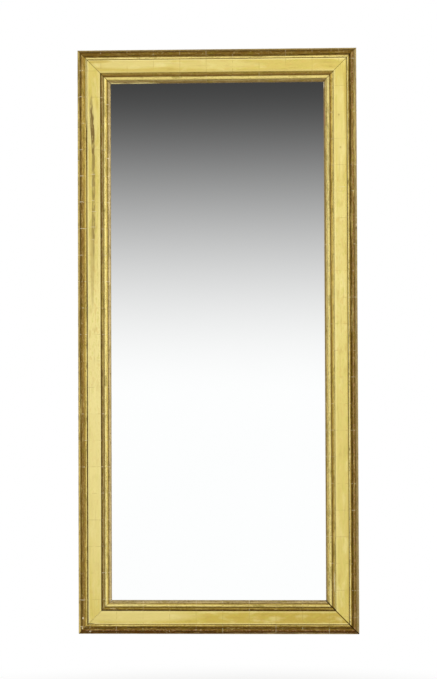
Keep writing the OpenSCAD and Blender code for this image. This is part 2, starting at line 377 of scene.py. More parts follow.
def frieze_section(name, x):
    """A flat strip with both front arrises rounded."""
    base = CARCASS_V
    shoulder = FRIEZE_V - FRIEZE_ARRIS
    pencil = Pencil(name, x, FRIEZE_U0, base)
    pencil.to(FRIEZE_U0, shoulder, step=SIDE_STEP)
    pencil.round(FRIEZE_U0 + FRIEZE_ARRIS, shoulder, 90, step=ARRIS_STEP)
    pencil.to(FRIEZE_U1 - FRIEZE_ARRIS, FRIEZE_V)
    pencil.round(FRIEZE_U1 - FRIEZE_ARRIS, shoulder, 90, step=ARRIS_STEP)
    pencil.to(FRIEZE_U1, base, step=SIDE_STEP)
    pencil.to(FRIEZE_U0, base, step=ONE_RUN)
    return pencil


def sight_section(name, x):
    """Cove, small fillet, ovolo, quirk, sloping sight fillet, and the lip that holds the plate."""
    base = CARCASS_V
    cove_v = base + COVE_EDGE_H
    cove_r = (COVE_W * COVE_W / 4 + COVE_DEPTH * COVE_DEPTH) / (2 * COVE_DEPTH)
    cove_sweep = 2 * math.degrees(math.asin(COVE_W / 2 / cove_r))
    ovolo_u = SIGHT_U0 + COVE_W + BEAD_FILLET_W
    quirk_u = ovolo_u + OVOLO_V - base
    fillet_u = quirk_u + SIGHT_QUIRK_W
    lip_back_u = CARCASS_U + SEAT_GAP
    pencil = Pencil(name, x, SIGHT_U0, base)
    pencil.to(SIGHT_U0, cove_v, step=SIDE_STEP)
    pencil.round(SIGHT_U0 + COVE_W / 2, cove_v - COVE_DEPTH + cove_r, -cove_sweep, step=CURVE_STEP)
    pencil.to(SIGHT_U0 + COVE_W, OVOLO_V)
    pencil.to(ovolo_u, OVOLO_V, step=NARROW_STEP)
    pencil.round(ovolo_u, base, 90, step=CURVE_STEP)
    pencil.to(quirk_u, base - SIGHT_QUIRK_D)
    pencil.to(fillet_u, base - SIGHT_QUIRK_D)
    pencil.to(fillet_u, base)
    pencil.to(SIGHT_U1 - SIGHT_CHAMFER, base - SIGHT_FALL)
    pencil.to(SIGHT_U1, base - SIGHT_FALL - SIGHT_CHAMFER, step=NARROW_STEP)
    pencil.to(SIGHT_U1, LIP_V)
    pencil.to(lip_back_u, LIP_V, step=ONE_RUN)
    pencil.to(lip_back_u, base, step=ONE_RUN)
    pencil.to(SIGHT_U0, base, step=ONE_RUN)
    return pencil


def carcass_section(name, x):
    """A plain pine member with the rebate for the back boards."""
    rebate_u = CARCASS_U - REBATE_W
    pencil = Pencil(name, x, EDGE_SET_IN, 0, across=COARSE)
    pencil.to(EDGE_SET_IN, CARCASS_V)
    pencil.to(CARCASS_U, CARCASS_V)
    pencil.to(CARCASS_U, REBATE_D)
    pencil.to(rebate_u, REBATE_D)
    pencil.to(rebate_u, 0)
    pencil.to(EDGE_SET_IN, 0)
    return pencil


# ---- shader arithmetic ----


class Wire:
    """A shader socket that can be written with in sums."""

    def __init__(self, recipe, socket):
        self.recipe = recipe
        self.socket = socket

    def sum(self, operation, *terms):
        return self.recipe.node("ShaderNodeMath", {"operation": operation}, dict(enumerate(terms)))

    def __add__(self, other):
        return self.sum("ADD", self, other)

    def __sub__(self, other):
        return self.sum("SUBTRACT", self, other)

    def __rsub__(self, other):
        return self.sum("SUBTRACT", other, self)

    def __mul__(self, other):
        return self.sum("MULTIPLY", self, other)

    def __truediv__(self, other):
        return self.sum("DIVIDE", self, other)

    def __pow__(self, other):
        return self.sum("POWER", self, other)

    def __mod__(self, other):
        return self.sum("FLOORED_MODULO", self, other)

    def __abs__(self):
        return self.sum("ABSOLUTE", self)

    def __floor__(self):
        return self.sum("FLOOR", self)

    __radd__ = __add__
    __rmul__ = __mul__


def rgb(red, green, blue):
    """A colour as seen, 0 to 255, in the shader's own scale."""

    def scale(seen):
        share = seen / 255
        return share / 12.92 if share <= 0.04045 else ((share + 0.055) / 1.055) ** 2.4

    return (scale(red), scale(green), scale(blue), 1.0)


class Recipe:
    """The nodes of one finish, in a node tree."""

    def __init__(self, tree):
        self.tree = tree
        tree.nodes.clear()

    def node(self, kind, settings=None, inputs=None, output=0):
        """One node with its settings and the values or links of its sockets."""
        node = self.tree.nodes.new(kind)
        for name, value in (settings or {}).items():
            if name == "stops":
                self.set_stops(node.color_ramp, value)
            else:
                setattr(node, name, value)
        for key, value in (inputs or {}).items():
            if isinstance(value, Wire):
                self.tree.links.new(value.socket, node.inputs[key])
            else:
                node.inputs[key].default_value = value
        return Wire(self, node.outputs[output]) if node.outputs else node

    def set_stops(self, ramp, stops):
        while len(ramp.elements) < len(stops):
            ramp.elements.new(0.5)
        for element, (position, colour) in zip(ramp.elements, stops):
            element.position = position
            element.color = colour

    def place(self, turn=0.0, place=Vector()):
        """Object coordinates of a member, turned back onto the bottom edge."""
        back = Matrix.Rotation(-turn, 3, "Y")
        inputs = {
            "Vector": self.node("ShaderNodeTexCoord", output="Object"),
            "Rotation": (0, -turn, 0),
            "Location": -(back @ place),
        }
        return self.node("ShaderNodeMapping", None, inputs)

    def axis(self, vector, name):
        return self.node("ShaderNodeSeparateXYZ", None, {0: vector}, output=name)

    def grained(self, vector, *size):
        """The coordinates counted in grains of that size along each axis, in mm."""
        grain = [MM * side for side in size]
        return self.node("ShaderNodeVectorMath", {"operation": "DIVIDE"}, {0: vector, 1: grain})

    def noise(self, vector, detail=2.0, rough=0.5, scale=1.0):
        inputs = {"Vector": vector, "Scale": scale, "Detail": detail, "Roughness": rough}
        return self.node("ShaderNodeTexNoise", None, inputs)

    def step(self, value, low, high):
        """0 up to low and 1 from high on, or the other way round, smooth between."""
        settings = {"interpolation_type": "SMOOTHSTEP"}
        rising = low < high
        inputs = {
            "Value": value,
            "From Min": min(low, high),
            "From Max": max(low, high),
            "To Min": 0.0 if rising else 1.0,
            "To Max": 1.0 if rising else 0.0,
        }
        return self.node("ShaderNodeMapRange", settings, inputs)

    def line(self, value, centre, half, soft):
        """1 on a line of that half width, with soft edges."""
        return self.step(abs(value - centre), half + soft, half)

    def spot(self, along, u, mark, soft):
        """1 on an oval mark: its place and its half sizes, along and across the member, in mm."""
        at_along, at_u, half_along, half_u = [MM * size for size in mark]
        away = ((along - at_along) / half_along) ** 2 + ((u - at_u) / half_u) ** 2
        return self.step(away, 1 + soft, 1 - soft)

    def ramp(self, value, stops):
        return self.node("ShaderNodeValToRGB", {"stops": stops}, {0: value})

    def coat(self, under, over, mask):
        """One colour laid over another where the mask is 1."""
        return self.node("ShaderNodeMix", {"data_type": "RGBA"}, {0: mask, 6: under, 7: over}, output=2)

    def coats(self, colour, *layers):
        """Coats laid in turn, each a tone and the mask that shows where."""
        for tone, mask in layers:
            colour = self.coat(colour, tone, mask)
        return colour

    def chance(self, number):
        """A random share that stays with a whole number."""
        return self.node("ShaderNodeTexWhiteNoise", {"noise_dimensions": "1D"}, {"W": number})

    def ray(self, kind):
        """1 for light rays of that kind."""
        return self.node("ShaderNodeLightPath", output=f"Is {kind} Ray")

    def bump(self, height, distance, strength=1.0):
        inputs = {"Height": height, "Distance": distance, "Strength": strength}
        return self.node("ShaderNodeBump", None, inputs)

    def surface(self, shader):
        self.node("ShaderNodeOutputMaterial", None, {"Surface": shader})


def finish(name):
    """A new material and the recipe that fills it."""
    material = bpy.data.materials.new(name)
    material.use_nodes = True
    return material, Recipe(material.node_tree)


def varnish(recipe, **inputs):
    """The closing shader; a socket's name is written with underscores."""
    named = {name.replace("_", " "): value for name, value in inputs.items()}
    recipe.surface(recipe.node("ShaderNodeBsdfPrincipled", None, named))


# ---- gilding ----

LEMON_LEAF = rgb(255, 240, 166)
PALE_GOLD = rgb(252, 232, 142)
GOLD = rgb(240, 217, 126)
FULL_GOLD = rgb(226, 200, 104)
DEEP_GOLD = rgb(208, 180, 84)
DUSKY_GOLD = rgb(190, 162, 74)
OLIVE_GOLD = rgb(168, 140, 60)
RUBBED_GOLD = rgb(150, 120, 60)
BROWN = rgb(128, 98, 38)
UMBER = rgb(106, 78, 26)
BOLE = rgb(98, 58, 14)
DARK_BOLE = rgb(66, 42, 10)
RUBBED_BOLE = rgb(172, 128, 96)
TAN = rgb(214, 192, 138)
GREY_GOLD = rgb(172, 152, 104)
GESSO = rgb(242, 228, 190)
WORN_GREY = rgb(140, 116, 66)
MOSS = rgb(136, 118, 34)
# Soot, and the painted shade of the dark lines along the torus's flanks and at the sight's edge
SOOT_AND_SHADE = rgb(64, 50, 18)
# The dark of joints and mitres: dirt, and painted shade in the step under the neck and at the cove's lip
JOINT_DIRT_AND_SHADE = rgb(116, 88, 12)
GREEN_GOLD = rgb(216, 206, 96)
WARM_GOLD = rgb(226, 194, 108)

# What leaf reflects at a low angle
WARM_SHEEN = rgb(214, 176, 84)

# The forms of an outer moulding, in mm from its outer edge: the edge and its arris, the torus's outer flank,
# shoulder, crest, inner flank and foot, the neck and the quirk; and the tone of each form on each side. The
# tones hold the gilding's toning and worn bole, and also painted shade and painted highlight: the torus's
# flanks darker or lighter on each side by how the light falls on them, and on the left a painted shade in
# the quirk
OUTER_FORMS = (1, 4.5, 8, 11, 14.5, 18.5, 21.5, 24.3, 26.3)
OUTER_TONES = {
    "left": (TAN, GOLD, RUBBED_GOLD, BROWN, RUBBED_GOLD, RUBBED_GOLD, DEEP_GOLD, GOLD, UMBER),
    "right": (GREY_GOLD, GREY_GOLD, WORN_GREY, BROWN, RUBBED_GOLD, UMBER, BROWN, DEEP_GOLD, LEMON_LEAF),
    "top": (GREY_GOLD, WORN_GREY, UMBER, UMBER, BROWN, BROWN, RUBBED_GOLD, PALE_GOLD, PALE_GOLD),
    "bottom": (BROWN, BOLE, BOLE, BOLE, BROWN, UMBER, UMBER, DUSKY_GOLD, GOLD),
}
# The forms of a sight moulding: the cove's lip, its top, middle and foot, the small fillet, the ovolo and
# its nose, and the slope's top, middle, foot and edge. Their tones hold toning and wear, and also painted
# shade and painted highlight: the cove's lip dark or light on each side by how the light falls, and the
# sight's edge darkened on the top as painted shade
SIGHT_FORMS = (67.5, 69.5, 72.5, 76, 77.5, 81.5, 86, 88, 92, 95.5, 97)
SIGHT_TONES = {
    "left": (
        DARK_BOLE, BROWN, GREY_GOLD, DEEP_GOLD, LEMON_LEAF, PALE_GOLD,
        DEEP_GOLD, GREY_GOLD, TAN, GREY_GOLD, WORN_GREY,
    ),
    "right": (
        LEMON_LEAF, PALE_GOLD, DEEP_GOLD, RUBBED_GOLD, UMBER, PALE_GOLD,
        LEMON_LEAF, PALE_GOLD, WORN_GREY, GREY_GOLD, GREY_GOLD,
    ),
    "top": (
        FULL_GOLD, OLIVE_GOLD, RUBBED_GOLD, BROWN, BROWN, PALE_GOLD,
        PALE_GOLD, GREY_GOLD, WORN_GREY, WORN_GREY, DARK_BOLE,
    ),
    "bottom": (
        DARK_BOLE, UMBER, DUSKY_GOLD, OLIVE_GOLD, UMBER, PALE_GOLD,
        DUSKY_GOLD, TAN, GREY_GOLD, GREY_GOLD, GREY_GOLD,
    ),
}
# The flat's tone on each side
FLAT_TONES = {
    "left": rgb(236, 217, 122),
    "right": rgb(230, 211, 117),
    "top": rgb(226, 205, 112),
    "bottom": rgb(222, 199, 96),
}
# The flat's arris against the neck: a painted highlight, and on the right a painted shade under the neck
ARRIS_TONES = {"left": (LEMON_LEAF, 0.9), "right": (OLIVE_GOLD, 0.5), "top": (LEMON_LEAF, 0.85),
               "bottom": (LEMON_LEAF, 0.7)}
# Where the flat is paler: the middle of the place along it, how far it reaches either way, how strongly
PALER = {"left": (0.05, 0.6, 0.9), "right": (0.2, 0.55, 0.5)}
# Where it grows duskier along its length: from, to, how strongly
DUSKIER = {"bottom": (-0.22, 0.32, 0.55)}
# How far from the flat's edges each thing begins and is full: the painted highlight or shade on the arris at
# the neck, the painted highlight on the arris at the cove, and the joints
NECK_ARRIS = (5 * MM, 2 * MM)
COVE_ARRIS = (7 * MM, 4 * MM)
JOINT = (1.2 * MM, 0.4 * MM)

# Leaf is laid in squares that lap each other, counted from here along each member
LEAF = 77 * MM
FIRST_LAP = {"left": 57.5 * MM, "right": 47.2 * MM, "top": 30 * MM, "bottom": 12 * MM}

# Painted shade: dark lines that wander along the torus's flanks: mm from the outer edge, and half a line's
# width
FLANK_SHADE_LINES = {
    "left": [(9.5, 1.7)],
    "right": [(10.2, 1.2), (18.8, 1.6)],
    "top": [(7.5, 1.8), (19.6, 1.2)],
    "bottom": [(8.5, 1.6), (18.6, 1.4)],
}

# How strongly each side is streaked and flecked
WEAR = {"left": 1.0, "right": 0.85, "top": 0.7, "bottom": 1.0}

# How far the laps are rubbed through on each side
LAP_WEAR = {"left": 0.6, "right": 0.35, "top": 0.2, "bottom": 0.35}

# How dirty the mitre is at each member's low end and high end, and the dirtiest line's half width and rim
MITRE_DIRT = {"left": (0.45, 0.12), "right": (1.0, 0.4), "top": (0.4, 0.45), "bottom": (0.12, 1.0)}
MITRE_DIRT_HALF = 1.6 * MM
MITRE_DIRT_SOFT = 1.5 * MM

# How dark the flat's joints are painted, with the torus and with the cove: dirt, and painted shade in the
# step under the neck and at the cove's lip
JOINTS = {"left": (0.1, 0.75), "right": (0.2, 0.0), "top": (0.4, 0.2), "bottom": (0.15, 0.8)}

# Soft long places where the tone differs, and small sharp marks: toning, stains, chips and wear, and among
# them painted shade and painted highlights that move the dark and light lines along the neck and the
# sight's edge. Each gives the tone, how strongly, then the place along and across the member and the half
# sizes along and across, in mm
SHADES = {
    "left_torus": [
        (UMBER, 0.4, -60, 7.5, 200, 4), (PALE_GOLD, 0.3, -520, 4.5, 90, 2.5),
        (PALE_GOLD, 0.35, 420, 4.5, 260, 2.5), (UMBER, 0.35, 500, 20, 360, 5),
        (BROWN, 0.7, -760, 2.2, 70, 3.4), (LEMON_LEAF, 0.6, 60, 26.2, 160, 1.3),
        (PALE_GOLD, 0.8, 420, 25, 430, 1.3), (FULL_GOLD, 0.45, -620, 17, 190, 3.4),
        (UMBER, 0.6, -693, 8.5, 26, 4), (UMBER, 0.55, -262, 17, 13, 4), (UMBER, 0.55, -180, 17, 14, 4),
        (GOLD, 0.55, 175, 8.5, 72, 3.4), (UMBER, 0.5, 685, 8.5, 32, 4), (UMBER, 0.7, 773, 10, 36, 6),
    ],
    "left_flat": [
        (LEMON_LEAF, 0.9, -350, 29, 250, 1.8), (LEMON_LEAF, 0.45, -637, 46, 58, 14),
        (RUBBED_GOLD, 0.35, -240, 43, 130, 6), (LEMON_LEAF, 0.5, 400, 50, 330, 22),
        (LEMON_LEAF, 0.35, -280, 63, 150, 4),
    ],
    "left_sight": [
        (UMBER, 0.5, -600, 68, 210, 2.5), (FULL_GOLD, 0.35, -80, 73, 200, 4.5),
        (PALE_GOLD, 0.5, -230, 77.5, 190, 2.6), (BROWN, 0.6, 500, 77.5, 270, 2),
        (BROWN, 0.5, -700, 77, 90, 2), (PALE_GOLD, 0.35, -120, 80.5, 200, 3),
        (UMBER, 0.45, -680, 90.5, 120, 3.5), (TAN, 0.3, -120, 91, 220, 4),
        (OLIVE_GOLD, 0.4, -600, 84, 190, 4.4), (PALE_GOLD, 0.4, 40, 84, 90, 4.4),
    ],
    "right_torus": [
        (GOLD, 0.6, 590, 7.5, 160, 3.4), (BROWN, 0.35, -270, 8, 270, 2.6), (UMBER, 0.6, 775, 17, 34, 4.4),
        (GOLD, 0.55, 349, 17, 48, 3), (GOLD, 0.5, 88, 17, 90, 3), (BROWN, 0.5, -415, 17, 86, 4),
        (LEMON_LEAF, 0.55, -300, 26, 84, 3), (GOLD, 0.3, 500, 16.5, 90, 2.2),
        (UMBER, 0.4, -240, 16.5, 160, 2.2), (UMBER, 0.5, 650, 23.3, 160, 2.8),
        (LEMON_LEAF, 0.35, -130, 27.8, 250, 1.8),
    ],
    "right_flat": [
        (LEMON_LEAF, 0.15, -420, 45, 280, 22), (LEMON_LEAF, 0.3, 620, 46, 140, 14),
        (DUSKY_GOLD, 0.35, 700, 33, 90, 4),
    ],
    "right_sight": [
        (UMBER, 0.4, -560, 72.5, 300, 4.5), (GOLD, 0.3, 230, 74, 110, 2.4),
        (UMBER, 0.6, 470, 80.2, 170, 1.6), (BROWN, 0.3, 480, 92, 330, 2.5),
        (LEMON_LEAF, 0.6, 340, 86.5, 340, 2.6),
    ],
    "top_torus": [
        (UMBER, 0.4, -60, 22.8, 190, 2.2), (LEMON_LEAF, 0.5, 270, 25.2, 140, 1.6),
        (BROWN, 0.35, -80, 25.3, 70, 1.8), (OLIVE_GOLD, 0.35, -240, 4.5, 150, 2),
        (BROWN, 0.55, -262, 21, 112, 2.2), (OLIVE_GOLD, 0.6, 150, 12.5, 95, 1.5),
    ],
    "top_flat": [
        (DUSKY_GOLD, 0.35, 0, 64.5, 330, 4), (LEMON_LEAF, 0.3, 15, 45, 130, 13),
        (LEMON_LEAF, 0.45, 250, 42, 110, 13), (DEEP_GOLD, 0.5, 345, 33, 34, 5),
    ],
    "top_sight": [
        (LEMON_LEAF, 0.95, 270, 94.8, 90, 1.6), (BROWN, 0.5, 60, 79.5, 50, 1.4),
        (UMBER, 0.4, 90, 93.5, 60, 1.5),
    ],
    "bottom_torus": [
        (PALE_GOLD, 0.75, -286, 26, 90, 3), (UMBER, 0.35, 190, 26.5, 190, 3),
        (TAN, 0.6, 210, 1.8, 190, 2.8),
    ],
    "bottom_flat": [
        (LEMON_LEAF, 0.5, -260, 52, 190, 18),
    ],
    "bottom_sight": [
        (UMBER, 0.55, 160, 68.5, 240, 2.6), (LEMON_LEAF, 0.5, -270, 85, 80, 4),
        (BROWN, 0.35, 190, 86, 220, 6), (BROWN, 0.4, 190, 94, 190, 2.6),
    ],
}
MARKS = {
    "left_torus": [
        (GESSO, 0.8, 803, 14.4, 3, 2.2), (GESSO, 0.8, 832, 12, 2.6, 1.4), (GESSO, 0.8, -528, 2.5, 1, 3),
        (GESSO, 0.8, -713, 9, 0.7, 6), (GESSO, 0.8, -406, 11, 0.8, 7), (GESSO, 0.8, -328, 17, 0.7, 12),
        # Painted shade and painted highlights: a dark line and light lines along the neck
        (JOINT_DIRT_AND_SHADE, 0.85, -742, 23.2, 114, 1.4), (LEMON_LEAF, 0.75, -742, 26.7, 114, 1.7),
        (LEMON_LEAF, 0.75, -350, 28.1, 250, 1.1),
    ],
    "left_flat": [
        (GESSO, 0.7, -487, 45.5, 0.8, 7), (GESSO, 0.7, -410, 45, 0.6, 5), (GESSO, 0.7, -378, 48, 0.6, 8),
        (GESSO, 0.7, -333, 45, 0.8, 8), (GESSO, 0.7, -296, 45, 0.6, 5),
    ],
    "left_sight": [
        (GESSO, 0.8, -692, 87, 1, 3), (GESSO, 0.8, -534, 88, 1.6, 3), (SOOT_AND_SHADE, 0.9, -308, 68.5, 8, 1.6),
        # Painted shade at the top of the sight's edge
        (SOOT_AND_SHADE, 0.8, -745, 96.5, 6, 2),
    ],
    "right_torus": [
        (SOOT_AND_SHADE, 0.8, 325, 3.5, 3, 1.6), (GESSO, 0.6, 334, 3, 4, 1.4),
    ],
    "right_flat": [
        (GESSO, 0.7, 445, 42, 0.5, 11), (OLIVE_GOLD, 0.5, 655, 52, 3, 2.5),
        (OLIVE_GOLD, 0.4, 560, 48, 3.5, 2.5),
    ],
    "right_sight": [
        (GESSO, 0.7, -700, 71.6, 30, 1.2), (RUBBED_BOLE, 0.6, 650, 93, 26, 2),
        (GESSO, 0.8, 745, 95, 10, 1.6),
    ],
    "bottom_torus": [
        (GESSO, 0.8, -372, 9, 3, 1.5),
    ],
    "bottom_flat": [
        (SOOT_AND_SHADE, 0.8, -372, 30.4, 12, 0.9),
    ],
    "bottom_sight": [
        (TAN, 0.8, -308, 73, 9, 1.6), (SOOT_AND_SHADE, 0.7, -296, 71.5, 3, 1.6),
    ],
}
# How soft the rims of shades and of marks are: 0 is sharp and 1 soft right to the middle
SHADE_SOFTNESS = 0.7
MARK_SOFTNESS = 0.4

# Long streaks worn in the left flat: place and half sizes, as above
WORN_STREAKS = [(-670, 40.5, 50, 5), (-640, 43, 50, 5.6), (-590, 45, 45, 5.2), (-440, 47, 190, 5)]

# Specks of pinkish bole on the crest: mm from the outer edge
CREST_SPECKS = {"right": 13.2, "bottom": 12.4}


class MemberPlace:
    """Where a point lies on a member, for its finish: along it, and across it as u."""

    def __init__(self, recipe, side):
        self.recipe = recipe
        self.side = side
        self.vector = recipe.place(*SIDES[side])
        self.along = recipe.axis(self.vector, "X")
        self.u = recipe.axis(self.vector, "Z")

    def noise(self, along, across, detail=2.0, rough=0.5):
        """Noise in grains of that size, in mm."""
        grained = self.recipe.grained(self.vector, along, across, across)
        return self.recipe.noise(grained, detail, rough)

    def laps(self, half, soft):
        """1 on the thin laps between two leaves."""
        past_lap = (self.along - FIRST_LAP[self.side] + LEAF / 2) % LEAF
        return self.recipe.line(past_lap, LEAF / 2, half, soft)

    def mitres(self):
        """The dirt in both mitres, as strong as each end has it."""
        half_length = LENGTHS[self.side] / 2
        low, high = MITRE_DIRT[self.side]
        to_low = self.along + half_length - self.u
        to_high = half_length - self.u - self.along
        at_low = self.recipe.line(to_low, 0, MITRE_DIRT_HALF * low, MITRE_DIRT_SOFT) * low
        return at_low + self.recipe.line(to_high, 0, MITRE_DIRT_HALF * high, MITRE_DIRT_SOFT) * high

    def spots(self, marks, soft):
        """1 on any of the oval marks."""
        found = None
        for mark in marks:
            spot = self.recipe.spot(self.along, self.u, mark, soft)
            found = spot if found is None else found + spot
        return found

    def marked(self, colour, marks, soft, broken=1.0):
        """The colour with each mark laid over it in its own tone."""
        for tone, strength, *mark in marks:
            spot = self.recipe.spot(self.along, self.u, mark, soft)
            colour = self.recipe.coat(colour, tone, spot * strength * broken)
        return colour


def leaf_varnish(recipe, **inputs):
    """The closing shader of gold leaf, which has a warm sheen at a low angle."""
    varnish(recipe, Specular_IOR_Level=0.05, Specular_Tint=WARM_SHEEN, **inputs)


def streaked(place, colour, streaks):
    """Streaks along the moulding, mossy patches and small flecks, as strong as the side is worn."""
    recipe = place.recipe
    wear = WEAR[place.side]
    patches = place.noise(30, 14, detail=2)
    flecks = place.noise(6, 2.4, detail=3, rough=0.6)
    return recipe.coats(
        colour,
        (DARK_BOLE, recipe.step(streaks, 0.52, 0.7) * 0.62 * wear),
        (PALE_GOLD, recipe.step(streaks, 0.44, 0.28) * 0.5 * wear),
        (MOSS, recipe.step(patches, 0.56, 0.7) * 0.4),
        (UMBER, recipe.step(flecks, 0.54, 0.68) * 0.62 * wear),
        (TAN, recipe.step(flecks, 0.43, 0.29) * 0.5 * wear),
    )


def flank_shaded(place, colour):
    """Painted shade: dark lines that wander and break along the torus's flanks; and specks of bole on its
    crest.
    """
    recipe = place.recipe
    drift = place.u + (place.noise(160, 90) - 0.5) * (7 * MM)
    broken = recipe.step(place.noise(24, 4, detail=4, rough=0.65), 0.34, 0.56)
    for mm, half in FLANK_SHADE_LINES[place.side]:
        flank_shade = recipe.line(drift, mm * MM, half * 0.4 * MM, half * 0.9 * MM)
        colour = recipe.coat(colour, SOOT_AND_SHADE, flank_shade * broken * 0.85)
    if place.side in CREST_SPECKS:
        crest = recipe.line(place.u, CREST_SPECKS[place.side] * MM, 0.8 * MM, 1.6 * MM)
        specks = recipe.step(place.noise(4, 4, detail=2), 0.5, 0.62)
        colour = recipe.coat(colour, RUBBED_BOLE, crest * specks * 0.75)
    return colour


def toned_gilding(part, side, tones):
    """Toned and rubbed gilding of one moulding, with its laps, streaks, marks and fine crackle; its tones
    across the forms also hold painted shade and painted highlights.
    """
    material, recipe = finish(part + "_gilding")
    place = MemberPlace(recipe, side)
    wander = place.noise(70, 12, detail=3)
    across = (place.u + (wander - 0.5) * (0.7 * MM)) / SIGHT_U1
    colour = recipe.ramp(across, [(mm * MM / SIGHT_U1, tone) for mm, tone in tones])
    broken_shade = recipe.step(place.noise(40, 6, detail=3), 0.28, 0.6)
    colour = place.marked(colour, SHADES[part], SHADE_SOFTNESS, broken_shade)
    streaks = place.noise(34, 1.5, detail=4, rough=0.62)
    colour = flank_shaded(place, streaked(place, colour, streaks))
    patchy = recipe.step(place.noise(16, 9), 0.48, 0.62)
    colour = recipe.coat(colour, GESSO, place.laps(0.5 * MM, 1.1 * MM) * patchy * LAP_WEAR[side])
    colour = place.marked(colour, MARKS.get(part, []), MARK_SOFTNESS)
    dirt = place.mitres()
    crackle = place.noise(2.2, 0.8, detail=4, rough=0.6)
    leaf_varnish(
        recipe,
        Base_Color=recipe.coat(colour, DARK_BOLE, dirt),
        Metallic=recipe.step(streaks, 0.7, 0.4) * (1 - dirt) * 0.45,
        Roughness=crackle * 0.2 + 0.38,
        Normal=recipe.bump(crackle + streaks * 0.6, 0.12 * MM, 0.6),
    )
    return material


def flat_ground(place, cloudy, brushed):
    """The flat's tone on its side, paler or duskier along its length, in clouds, brushed, and leaf by leaf.
    """
    recipe = place.recipe
    colour = FLAT_TONES[place.side]
    if place.side in PALER:
        centre, reach, strength = PALER[place.side]
        paler = recipe.step(abs(place.along - centre), reach, 0.0) * strength
        colour = recipe.coat(colour, LEMON_LEAF, paler)
    if place.side in DUSKIER:
        start, end, strength = DUSKIER[place.side]
        colour = recipe.coat(colour, DUSKY_GOLD, recipe.step(place.along, start, end) * strength)
    mottled = place.noise(20, 8, detail=3, rough=0.6)
    leaf = math.floor((place.along - FIRST_LAP[place.side]) / LEAF)
    return recipe.coats(
        colour,
        (LEMON_LEAF, recipe.step(cloudy, 0.5, 0.72) * 0.45),
        (DUSKY_GOLD, recipe.step(cloudy, 0.44, 0.26) * 0.3),
        (OLIVE_GOLD, recipe.step(brushed, 0.54, 0.76) * 0.4),
        (GREEN_GOLD, recipe.step(mottled, 0.52, 0.66) * 0.4),
        (WARM_GOLD, recipe.step(mottled, 0.46, 0.32) * 0.4),
        (DEEP_GOLD, recipe.chance(leaf) * 0.2),
    )


def flat_edges(place, colour):
    """The flat's two arrises, with painted highlights and on the right a painted shade, and the dark in its
    joints: dirt and painted shade.
    """
    recipe = place.recipe
    neck_tone, strength = ARRIS_TONES[place.side]
    torus_joint, cove_joint = JOINTS[place.side]

    def from_neck(begins, full):
        return recipe.step(place.u, FRIEZE_U0 + begins, FRIEZE_U0 + full)

    def from_cove(begins, full):
        return recipe.step(place.u, FRIEZE_U1 - begins, FRIEZE_U1 - full)

    return recipe.coats(
        colour,
        (neck_tone, from_neck(*NECK_ARRIS) * strength),
        (LEMON_LEAF, from_cove(*COVE_ARRIS) * 0.35),
        (JOINT_DIRT_AND_SHADE, from_neck(*JOINT) * torus_joint + from_cove(*JOINT) * cove_joint),
    )


def matt_gilding(part, side):
    """The flat's matt gilding: brushed streaks, clouds, laps, worn places, and arrises with painted
    highlights.
    """
    material, recipe = finish(part + "_gilding")
    place = MemberPlace(recipe, side)
    brushed = place.noise(90, 3, detail=5, rough=0.6)
    cloudy = place.noise(46, 16, detail=3)
    colour = flat_edges(place, flat_ground(place, cloudy, brushed))
    colour = place.marked(colour, SHADES[part], SHADE_SOFTNESS)
    laps = place.laps(0.5 * MM, 1.0 * MM) * recipe.step(cloudy, 0.4, 0.6) * 0.3
    colour = recipe.coat(colour, OLIVE_GOLD, laps)
    if side == "left":
        rubbed = recipe.step(place.noise(22, 5, detail=4, rough=0.6), 0.3, 0.6)
        worn = place.spots(WORN_STREAKS, 0.6) * (rubbed * 0.55 + 0.2)
        colour = recipe.coat(colour, WORN_GREY, worn)
    colour = place.marked(colour, MARKS.get(part, []), MARK_SOFTNESS)
    dirt = place.mitres()
    crackle = place.noise(3, 1, detail=4, rough=0.6)
    leaf_varnish(
        recipe,
        Base_Color=recipe.coat(colour, JOINT_DIRT_AND_SHADE, dirt * 0.85),
        Metallic=recipe.step(brushed, 0.75, 0.4) * (1 - dirt) * 0.35,
        Roughness=brushed * 0.2 + 0.42,
        Normal=recipe.bump(crackle + brushed, 0.1 * MM, 0.5),
    )
    return material


# ---- the gilt front ----


def gilt_length(section, name, side):
    """One length of moulding, a little uneven as gesso laid by hand is."""
    piece = member(section, name, side, CORNER_GAPS[side])
    uneven(piece, *GESSO_HOLLOWS)
    uneven(piece, *GESSO_RIPPLES)
    smooth(piece)
    return piece


def gilt_front():
    for side in SIDES:
        torus = gilt_length(outer_section, side + "_torus_length", side)
        gilding = toned_gilding(side + "_torus", side, zip(OUTER_FORMS, OUTER_TONES[side]))
        seat(torus, [side + "_outer_moulding"], [gilding])
        flat = gilt_length(frieze_section, side + "_flat_length", side)
        seat(flat, [side + "_frieze"], [matt_gilding(side + "_flat", side)])
        sight = gilt_length(sight_section, side + "_sight_length", side)
        gilding = toned_gilding(side + "_sight", side, zip(SIGHT_FORMS, SIGHT_TONES[side]))
        seat(sight, [side + "_sight_moulding"], [gilding])


# ---- the plate ----

SILVER_TONES = (rgb(252, 253, 253), rgb(254, 255, 255))
LEAD_PAINT = rgb(112, 104, 92)
LEAD_PAINT_DARK = rgb(84, 76, 66)
GLASS_GREEN = rgb(120, 146, 128)
GLASS_GREEN_DARK = rgb(86, 112, 98)
# How squarely a face of the plate looks forwards to be silvered, and backwards to be painted
FRONT_FACING = 0.99
BACK_FACING = 0.9


def silvering():
    """The silver, seen through the front of the plate."""
    material, recipe = finish("silvered_front")
    haze = recipe.noise(recipe.place(), scale=3)
    colour = recipe.ramp(haze, list(enumerate(SILVER_TONES)))
    varnish(recipe, Base_Color=colour, Metallic=1.0, Roughness=0.0)
    return material


